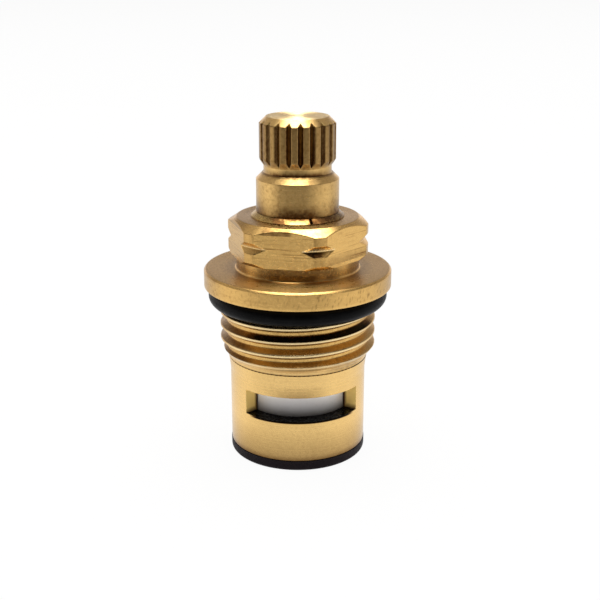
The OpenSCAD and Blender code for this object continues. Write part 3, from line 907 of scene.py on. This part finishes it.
def brass(name, light, dark, rough, lines=0.5, speck=0.6, aniso=0.75, stain_or_shade=None, dull=None):
    """Bare brass with tool marks, tarnish, a brown film and painted shade, and painted highlights.

    Lines and speck are the strengths of tool marks and specks. Stain or shade adds film and
    painted shade, and dull takes off the shine and adds painted shade on the window sides.
    """
    n = Look(name)
    point = n.point()
    turning = turned_marks(n, point)
    milling = milled_marks(n, point)
    milled = n.attribute("milled")
    faced = n.attribute("faced")
    painted_highlight = n.attribute("painted_highlight")
    specks = n.noise(point, scale=2200, detail=5, rough=0.65)
    cloud = n.noise(point, scale=160, detail=3, rough=0.5)

    clouded = n.remap(cloud, *CLOUD_RANGE, CLOUD_LOWEST * speck, speck)
    tarnish = n.math("MULTIPLY", n.remap(specks, *SPECK_RANGE), clouded)
    scratch = n.math("MULTIPLY", n.remap(milling, *SCRATCH_RANGE), milled)
    shade = n.mix(n.math("MAXIMUM", tarnish, scratch), rgb(*light), rgb(*dark))
    # Painted highlights whiten the colour
    shade = n.mix(painted_highlight, shade, HIGHLIGHT_BRASS)

    # Painted shade in crevices, from ambient occlusion
    crevice = n.add("ShaderNodeAmbientOcclusion", {"Distance": CREVICE_W * MM}, samples=8).outputs["AO"]
    unhighlighted = n.remap(painted_highlight, 0.0, SHADE_FREE_HIGHLIGHT, 1.0, 0.0)
    crevice_dark = n.math("MULTIPLY", n.remap(crevice, *CREVICE_RANGE, *CREVICE_SHADE), unhighlighted)
    film_and_shade = n.math("MAXIMUM", n.attribute("film_and_shade"), crevice_dark)
    if stain_or_shade:
        film_and_shade = n.math("MAXIMUM", film_and_shade, stain_or_shade(n, point))

    lines_worn = n.math("MULTIPLY", turning, WEAR_SHARE)
    wear = n.math("ADD", lines_worn, n.math("MULTIPLY", specks, WEAR_SHARE))
    worn = n.remap(wear, *WEAR_RANGE, rough - ROUGH_LESS, rough + ROUGH_MORE)
    worn = n.math("ADD", worn, n.math("MULTIPLY", faced, FACED_ROUGH))
    n.feed("Metallic", 1.0)
    if dull:
        # Dull window sides lose film and painted shade, and take painted shade of their own
        matt, reveal_shade = dull(n, point)
        film_and_shade = n.math("MULTIPLY", film_and_shade, n.remap(matt, 0, 1, 1.0, DULL_FILM_AND_SHADE))
        film_and_shade = n.math("MAXIMUM", film_and_shade, reveal_shade)
        shade = n.mix(n.math("MULTIPLY", matt, DULL_SHARE), shade, DULL_BRASS)
        worn = n.math("ADD", worn, n.math("MULTIPLY", matt, DULL_ROUGH))
        n.feed("Metallic", n.remap(matt, 0, 1, 1.0, DULL_METAL))
    patches = n.remap(specks, *PATCH_RANGE, 1 - PATCH_LESS * speck, 1 + PATCH_MORE * speck)
    patchy = n.math("MULTIPLY", film_and_shade, patches)
    brown = n.mix(n.remap(patchy, 0.0, FULL_BROWN), shade, FILM_AND_SHADE_BROWN)
    n.feed("Base Color", n.mix(n.remap(patchy, FULL_BROWN, 1.0), brown, FILM_AND_SHADE_BLACK))
    n.feed("Roughness", worn)

    to_middle = n.fade(n.radius_height(point)[0], END_RANGE, END_ANISO_LOSS)
    end_loss = n.math("MULTIPLY", faced, to_middle)
    milled_loss = n.math("MULTIPLY", milled, MILLED_ANISO_LOSS)
    brushed = n.math("SUBTRACT", n.remap(faced, 0, 1, aniso, FACED_ANISO), milled_loss)
    n.feed("Anisotropic", n.math("SUBTRACT", brushed, end_loss, clamp=True))
    n.feed("Anisotropic Rotation", ALONG_THE_TURNS)
    n.feed("Tangent", n.add("ShaderNodeTangent", direction_type="RADIAL", axis="Z").outputs[0])

    tool = n.mix(milled, turning, milling)
    grains = n.math("MULTIPLY", specks, SPECK_RELIEF * speck)
    height = n.math("ADD", n.math("MULTIPLY", tool, lines), grains)
    n.feed("Normal", n.bump(height, BRASS_RELIEF * MM, BRASS_BUMP))
    return n.material


# Sleeve: limits in millimetres between which each stain and painted shade grows, its strengths, and limits
# of the normal
# Painted shade: black on the window sills and darker towards the seal
SILL_NORMAL = 0.7
SILL_ZONE_Z = WINDOW_LOW - 0.1
SILL_ENDS = (7.0, 6.0)
SILL_LIP = (WINDOW_LOW - 0.3, WINDOW_LOW - 0.18)
SILL_LIP_TOP = WINDOW_LOW + 0.01
SILL_SHADE = 1.15
SLEEVE_SHADE_RISE = (SLEEVE_BOTTOM + 4.6, SLEEVE_BOTTOM + 0.8)
SLEEVE_SHADE = (0.0, 0.3)
SLEEVE_EDGE_RISE = (SLEEVE_BOTTOM + 0.8, SLEEVE_BOTTOM)
SLEEVE_EDGE_SHADE = (0.0, 0.25)
PATCH_ENDS = (4.2, 0.8)
PATCH_RISE = (WINDOW_TOP + 1.7, WINDOW_TOP)
PATCH_FILM = (0.0, 0.32)
PATCH_ZONE_Z = WINDOW_TOP - 0.1
SIDE_NORMAL = 0.5
# Painted shade on the window sides, darker inside and low
REVEAL_SHADE_INSIDE_RISE = (SLEEVE_BORE_R + 0.5, SLEEVE_BORE_R)
REVEAL_SHADE_INSIDE = (0.0, 0.8)
REVEAL_SHADE_LOW_RISE = (WINDOW_LOW + 0.7, WINDOW_LOW)
REVEAL_SHADE_LOW = (0.0, 0.55)


def sleeve_stain_and_shade(n, point):
    """Painted shade, black on the window sills and brown towards the seal, and a brown stain over the
    front window.
    """
    x, y, z = n.split(point)
    upward = n.split(n.true_normal())[2]
    in_window = n.math("GREATER_THAN", z, SILL_ZONE_Z * MM)
    level = n.math("MULTIPLY", n.math("GREATER_THAN", upward, SILL_NORMAL), in_window)
    along_x = n.math("MULTIPLY", x, -math.sin(WINDOW_DIR))
    along_y = n.math("MULTIPLY", y, math.cos(WINDOW_DIR))
    off_middle = n.math("ABSOLUTE", n.math("ADD", along_x, along_y))
    in_width = n.fade(off_middle, SILL_ENDS)
    below_sill = n.math("LESS_THAN", z, SILL_LIP_TOP * MM)
    lip = n.math("MULTIPLY", n.math("MULTIPLY", n.fade(z, SILL_LIP), in_width), below_sill)
    sill_dark = n.math("MULTIPLY", n.math("MAXIMUM", level, lip), SILL_SHADE)

    darkening = n.fade(z, SLEEVE_SHADE_RISE, SLEEVE_SHADE)
    edge = n.fade(z, SLEEVE_EDGE_RISE, SLEEVE_EDGE_SHADE)

    across = n.fade(n.math("ABSOLUTE", x), PATCH_ENDS)
    above = n.fade(z, PATCH_RISE, PATCH_FILM)
    over_window = n.math("GREATER_THAN", z, PATCH_ZONE_Z * MM)
    in_front = n.math("MULTIPLY", n.math("LESS_THAN", y, 0.0), over_window)
    patch = n.math("MULTIPLY", n.math("MULTIPLY", across, above), in_front)
    return n.math("ADD", n.math("MAXIMUM", sill_dark, patch), n.math("ADD", darkening, edge))


def window_sides(n, point):
    """Mask of the upright sides of the windows, which the cutter left dull, and painted shade on them."""
    normal = n.true_normal()
    level_part = n.vector_math("MULTIPLY", point, (1, 1, 0))[0]
    outward = n.vector_math("NORMALIZE", level_part)[0]
    facing_out = n.vector_math("DOT_PRODUCT", normal, outward)["Value"]
    upward = n.split(normal)[2]
    sideways = n.math("LESS_THAN", n.math("ABSOLUTE", facing_out), SIDE_NORMAL)
    upright = n.math("LESS_THAN", n.math("ABSOLUTE", upward), SIDE_NORMAL)
    sides = n.math("MULTIPLY", sideways, upright)
    radius, z = n.radius_height(point)
    inside = n.fade(radius, REVEAL_SHADE_INSIDE_RISE, REVEAL_SHADE_INSIDE)
    low = n.fade(z, REVEAL_SHADE_LOW_RISE, REVEAL_SHADE_LOW)
    return sides, n.math("MULTIPLY", sides, n.math("MAXIMUM", inside, low))


# Ring: heights and distances right of the middle, in millimetres, and strengths of the painted shade there
RING_INNER_RISE = (RETAINER_LOW.z + 0.2, RETAINER_HIGH.z)
RING_INNER_SHADE = (0.18, 0.62)
RING_LEFT_RISE = (-0.7, -1.8)
RING_LEFT_SHADE = (0.15, 0.62)
RING_RIGHT_RISE = (0.6, 1.8)
RING_RIGHT_SHADE = (0.1, 0.66)
RING_LIGHTER_LEFT = (-2.8, -4.6)
RING_LEFT_LOSS = (0.0, 0.36)
RING_LIGHTER_RIGHT = (3.2, 5.2)
RING_RIGHT_LOSS = (0.0, 0.2)


def ring_shade(n, point):
    """Painted shade on the ring, brown, where it meets the shaft and on both sides of the bright front."""
    x, _, z = n.split(point)
    inner = n.fade(z, RING_INNER_RISE, RING_INNER_SHADE)
    left = n.fade(x, RING_LEFT_RISE, RING_LEFT_SHADE)
    right = n.fade(x, RING_RIGHT_RISE, RING_RIGHT_SHADE)
    sides = n.math("MAXIMUM", left, right)
    lighter_left = n.fade(x, RING_LIGHTER_LEFT, RING_LEFT_LOSS)
    lighter_right = n.fade(x, RING_LIGHTER_RIGHT, RING_RIGHT_LOSS)
    shade_loss = n.math("ADD", lighter_left, lighter_right)
    inner = n.math("SUBTRACT", inner, shade_loss)
    sides = n.math("SUBTRACT", sides, shade_loss)
    return n.math("MAXIMUM", inner, sides, clamp=True)


# Rubber, ceramic and plastic: colours, ranges of their noises and depth of their grain in millimetres
GRAIN_RANGE = (0.3, 0.7)
GRAIN_BUMP = 0.4
DUST_LIGHTER = 16
DUST_RANGE = (0.5, 0.8)
DUST_SHARE = (0.0, 0.5)
RUBBER_ROUGH_LESS = 0.08
RUBBER_ROUGH_MORE = 0.12
RUBBER_GRAIN = 0.01
# Ceramic: painted shade greys the front and the part near the window sills, and the sides are painted
# lighter
CERAMIC_SHADED_FRONT = rgb(230, 230, 232)
CERAMIC_LIT_SIDES = rgb(250, 250, 250)
CERAMIC_SPECK = rgb(208, 208, 208)
CERAMIC_SHADE = rgb(26, 24, 24)
CERAMIC_LIT_SIDES_RISE = (2.0, 5.0)
CERAMIC_SPECK_SHARE = (0.0, 0.3)
CERAMIC_SHADE_FADE = (WINDOW_LOW, WINDOW_LOW + 2.4)
CERAMIC_SHADE_SHARE = (0.74, 0.0)
CERAMIC_ROUGH = (0.28, 0.42)
CERAMIC_GRAIN = 0.004
PLASTIC_LIGHT = rgb(226, 222, 212)
PLASTIC_DARK = rgb(206, 200, 188)
PLASTIC_RANGE = (0.4, 0.7)
PLASTIC_DARK_SHARE = (0.0, 0.5)
PLASTIC_ROUGH = (0.4, 0.55)
PLASTIC_GRAIN = 0.006


def rubber(name, colour, rough, gloss):
    """Moulded rubber with fine grain and a little dust."""
    n = Look(name)
    point = n.point()
    grain = n.noise(point, scale=2600, detail=3, rough=0.6)
    dust = n.noise(point, scale=500, detail=5, rough=0.6)
    dusty = rgb(*(c + DUST_LIGHTER for c in colour))
    n.feed("Base Color", n.mix(n.remap(dust, *DUST_RANGE, *DUST_SHARE), rgb(*colour), dusty))
    worn = n.remap(grain, *GRAIN_RANGE, rough - RUBBER_ROUGH_LESS, rough + RUBBER_ROUGH_MORE)
    n.feed("Roughness", worn)
    n.feed("Specular IOR Level", gloss)
    n.feed("Normal", n.bump(grain, RUBBER_GRAIN * MM, GRAIN_BUMP))
    return n.material


def ceramic(name):
    """Ground white ceramic with painted shade: greyer in front and dark towards the window sills."""
    n = Look(name)
    point = n.point()
    x, _, z = n.split(point)
    grinding = turned_marks(n, point)
    speckle = n.noise(point, scale=1800, detail=4, rough=0.6)
    off_middle = n.math("ABSOLUTE", x)
    front_to_sides = n.mix(n.fade(off_middle, CERAMIC_LIT_SIDES_RISE), CERAMIC_SHADED_FRONT, CERAMIC_LIT_SIDES)
    white = n.mix(n.remap(speckle, *SPECK_RANGE, *CERAMIC_SPECK_SHARE), front_to_sides, CERAMIC_SPECK)
    low_shade = n.fade(z, CERAMIC_SHADE_FADE, CERAMIC_SHADE_SHARE)
    n.feed("Base Color", n.mix(low_shade, white, CERAMIC_SHADE))
    n.feed("Roughness", n.remap(grinding, *GRAIN_RANGE, *CERAMIC_ROUGH))
    n.feed("Normal", n.bump(grinding, CERAMIC_GRAIN * MM, GRAIN_BUMP))
    return n.material


def plastic(name):
    """Moulded off-white plastic."""
    n = Look(name)
    grain = n.noise(n.point(), scale=1500, detail=4, rough=0.6)
    darker = n.remap(grain, *PLASTIC_RANGE, *PLASTIC_DARK_SHARE)
    n.feed("Base Color", n.mix(darker, PLASTIC_LIGHT, PLASTIC_DARK))
    n.feed("Roughness", n.remap(grain, *GRAIN_RANGE, *PLASTIC_ROUGH))
    n.feed("Normal", n.bump(grain, PLASTIC_GRAIN * MM, GRAIN_BUMP))
    return n.material


def dress(piece, material):
    piece.data.materials.clear()
    piece.data.materials.append(material)


nodes = frame["nodes"]
head_brass = brass("headpiece_brass_turned", light=(226, 183, 110), dark=(140, 94, 44), rough=0.28)
spindle_brass = brass("spindle_brass_turned", light=(216, 178, 112), dark=(126, 86, 42), rough=0.3)
sleeve_brass = brass(
    "sleeve_brass_turned", light=(234, 195, 126), dark=(181, 135, 76), rough=0.26,
    lines=0.12, speck=0.15, stain_or_shade=sleeve_stain_and_shade, dull=window_sides,
)
ring_brass = brass(
    "ring_brass_polished", light=(232, 196, 116), dark=(160, 114, 56), rough=0.25,
    lines=0.2, speck=0.8, aniso=0.0, stain_or_shade=ring_shade,
)
dress(headpiece, head_brass)
dress(spindle, spindle_brass)
dress(nodes["disc_sleeve"], sleeve_brass)
dress(nodes["retaining_ring"], ring_brass)
o_ring_rubber = rubber("o_ring_nitrile", colour=(5, 5, 6), rough=0.34, gloss=0.06)
for ring in ("flange_o_ring", "upper_spindle_o_ring", "lower_spindle_o_ring"):
    dress(nodes[ring], o_ring_rubber)
seal_rubber = rubber("seal_matt_rubber", colour=(24, 16, 20), rough=0.55, gloss=0.1)
dress(nodes["bottom_seal"], seal_rubber)
disc_ceramic = ceramic("disc_alumina")
for disc in ("moving_disc", "fixed_disc"):
    dress(nodes[disc], disc_ceramic)
washer_plastic = plastic("washer_acetal")
for washer in ("slide_washer", "seal_support_ring"):
    dress(nodes[washer], washer_plastic)


# Floor, light and camera, in metres

WHITE = (1, 1, 1, 1)
FLOOR_HALF_W = 4.0
FLOOR_COLOUR = (0.9, 0.9, 0.9, 1)
FLOOR_ROUGH = 0.9
# Share of plain white in the floor as it is seen, which hides its shading far out
FLOOR_EVEN = 0.94
SOFT_BOX_SIDES = 64
SOFT_BOX_EDGE_LEVEL = 0.3

# The tent lies on the floor from its back to its front edge and stands up there
TENT_HALF_W = 0.36
TENT_BACK = 0.36
TENT_FRONT = -0.28
TENT_LOW = 0.0004
TENT_HIGH = 0.3
# Where its levels start, and pairs of place on the way to the front edge and level
TENT_START = -0.03
TENT_LEVELS = (
    (0.0, 0.96), (0.05, 1.04), (0.13, 0.84), (0.22, 0.76), (0.28, 1.0), (0.34, 1.2),
    (0.43, 1.2), (0.49, 0.45), (0.56, 0.25), (0.8, 0.1), (1.0, 0.07),
)

# Its white sides, by how steeply they lie to the right or left of the way ahead, and their level leftwards
TENT_NEAREST = 0.001
TENT_RIGHT_RISE = (0.5, 1.4)
TENT_LEFT_RISE = (-1.3, -4.5)
TENT_SIDE_RANGE = (-0.08, -0.15)
TENT_SIDE_LEVELS = (1.08, 1.35)
TENT_BEHIND_RANGE = (0.0, 0.05)
TENT_BEHIND_LEVELS = (1.0, 0.7)

# The studio's levels, by direction
SKY_COLOUR = (1, 0.93, 0.88, 1)
OVERHEAD_RANGE = (0.1, 0.3)
OVERHEAD_LEVELS = (1.1, 0.4)
HORIZON_RANGE = (0.05, 0.1)
HORIZON_LEVELS = (1.0, 0.0)
AHEAD_RANGE = (-0.3, 0.3)
AHEAD_LEVELS = (0.25, 1.0)
LEFT_RANGE = (-0.2, -0.7)
LEFT_LEVELS = (1.0, 1.35)

# The camera was fitted to the ellipses of flange and sleeve: picture sizes in pixels, dip in degrees
PICTURE_PX = 600
FOCAL_PX = 1057.3
AIM_RIGHT_PX = 2.44
CAMERA_DIP = 17.727
CAMERA_PLACE = (0, -0.136526, 0.06465)
SENSOR_MM = 36
CLIP_START = 0.005


def sheet(name, points, faces):
    mesh = bpy.data.meshes.new(name)
    mesh.from_pydata(points, [], faces)
    piece = bpy.data.objects.new(name, mesh)
    bpy.context.collection.objects.link(piece)
    return piece


def floor():
    """White floor that takes shadows faintly and looks the same in the metal."""
    half = FLOOR_HALF_W
    corners = [(-half, -half, 0), (half, -half, 0), (half, half, 0), (-half, half, 0)]
    piece = sheet("floor", corners, [(0, 1, 2, 3)])
    n = Look("floor_white")
    n.feed("Base Color", FLOOR_COLOUR)
    n.feed("Roughness", FLOOR_ROUGH)
    path = n.add("ShaderNodeLightPath").outputs
    mirrored = n.math("MAXIMUM", path["Is Glossy Ray"], path["Is Transmission Ray"])
    seen = n.math("MAXIMUM", path["Is Camera Ray"], mirrored)
    white = n.add("ShaderNodeEmission", {"Color": WHITE, "Strength": 1.0})
    even = n.math("MULTIPLY", seen, FLOOR_EVEN)
    blend = n.add("ShaderNodeMixShader", {0: even, 1: n.shader.outputs[0], 2: white.outputs[0]})
    n.set(n.output.inputs["Surface"], blend.outputs[0])
    dress(piece, n.material)


def glow(piece, n, colour, strength):
    """Make a stage piece shine in the metal alone."""
    light = n.add("ShaderNodeEmission", {"Color": colour, "Strength": strength})
    n.set(n.output.inputs["Surface"], light.outputs[0])
    dress(piece, n.material)
    piece.visible_camera = False
    piece.visible_shadow = False
    piece.visible_diffuse = False


def soft_box(place, core, edge, level, narrow):
    """Soft box over the part, as the metal mirrors it: even up to core, then dimmer towards its edge."""
    turns = [2 * math.pi * i / SOFT_BOX_SIDES for i in range(SOFT_BOX_SIDES)]
    rim = [(edge * math.cos(a), edge * math.sin(a), 0) for a in turns]
    piece = sheet("soft_box", rim, [tuple(range(SOFT_BOX_SIDES))])
    piece.location = place
    piece.scale = (narrow, 1, 1)
    n = Look("soft_box_white")
    fade = n.remap(n.radius_height(n.point())[0], core, edge, level, SOFT_BOX_EDGE_LEVEL)
    fade.node.interpolation_type = "SMOOTHSTEP"
    glow(piece, n, WHITE, fade)


def fill(height, size, radiance):
    """Broad even light for the floor and the dull pieces."""
    lamp = bpy.data.lights.new("fill", "AREA")
    lamp.size = size
    lamp.energy = 4 * radiance * size * size
    piece = bpy.data.objects.new("fill", lamp)
    piece.location = (0, 0, height)
    piece.visible_glossy = False
    bpy.context.collection.objects.link(piece)


def tent():
    """Grey sheet round the part, as the metal mirrors it: dim in front, white at the sides."""
    rows = [(TENT_BACK, TENT_LOW), (TENT_FRONT, TENT_LOW), (TENT_FRONT, TENT_HIGH)]
    points = [(side * TENT_HALF_W, y, z) for y, z in rows for side in (-1, 1)]
    piece = sheet("tent", points, [(0, 2, 3, 1), (2, 4, 5, 3)])
    n = Look("tent_grey")
    x, y, _ = n.split(n.point())
    fade = n.add("ShaderNodeValToRGB", {"Fac": n.remap(y, TENT_START, TENT_FRONT)})
    stops = fade.color_ramp.elements
    while len(stops) < len(TENT_LEVELS):
        stops.new(1.0)
    for stop, (place, level) in zip(stops, TENT_LEVELS):
        stop.position = place
        stop.color = (level, level, level, 1)
    ahead = n.math("MAXIMUM", n.math("MULTIPLY", y, -1.0), TENT_NEAREST)
    slope = n.math("DIVIDE", x, ahead)
    sides = n.math("MAXIMUM", n.remap(slope, *TENT_RIGHT_RISE), n.remap(slope, *TENT_LEFT_RISE))
    white = n.remap(x, *TENT_SIDE_RANGE, *TENT_SIDE_LEVELS)
    dim_behind = n.remap(y, *TENT_BEHIND_RANGE, *TENT_BEHIND_LEVELS)
    glow(piece, n, n.mix(sides, fade.outputs["Color"], white), dim_behind)


def world():
    """Studio with a white horizon, dimmer overhead, dark in front and lighter on the left."""
    sky = bpy.data.worlds.new("studio")
    sky.use_nodes = True
    n = Nodes(sky.node_tree)
    x, y, z = n.split(n.add("ShaderNodeTexCoord").outputs["Generated"])
    overhead = n.remap(z, *OVERHEAD_RANGE, *OVERHEAD_LEVELS)
    horizon = n.remap(z, *HORIZON_RANGE, *HORIZON_LEVELS)
    in_front = n.math("MAXIMUM", n.remap(y, *AHEAD_RANGE, *AHEAD_LEVELS), horizon)
    on_left = n.remap(x, *LEFT_RANGE, *LEFT_LEVELS)
    level = n.math("MULTIPLY", n.math("MULTIPLY", overhead, in_front), on_left)
    background = n.tree.nodes["Background"]
    n.set(background.inputs["Strength"], level)
    n.set(background.inputs["Color"], SKY_COLOUR)
    bpy.context.scene.world = sky


def camera():
    lens = bpy.data.cameras.new("camera")
    lens.sensor_width = SENSOR_MM
    lens.lens = FOCAL_PX / PICTURE_PX * SENSOR_MM
    lens.clip_start = CLIP_START
    piece = bpy.data.objects.new("camera", lens)
    piece.location = CAMERA_PLACE
    piece.rotation_euler = (math.radians(90 - CAMERA_DIP), 0, -math.atan(AIM_RIGHT_PX / FOCAL_PX))
    bpy.context.collection.objects.link(piece)
    bpy.context.scene.camera = piece


floor()
soft_box(place=(0, 0.07, 0.45), core=0.1, edge=0.35, level=9.0, narrow=0.8)
fill(height=1.2, size=1.6, radiance=1.9)
tent()
world()
camera()
bpy.context.scene.view_settings.view_transform = "Standard"

bpy.context.view_layer.update()
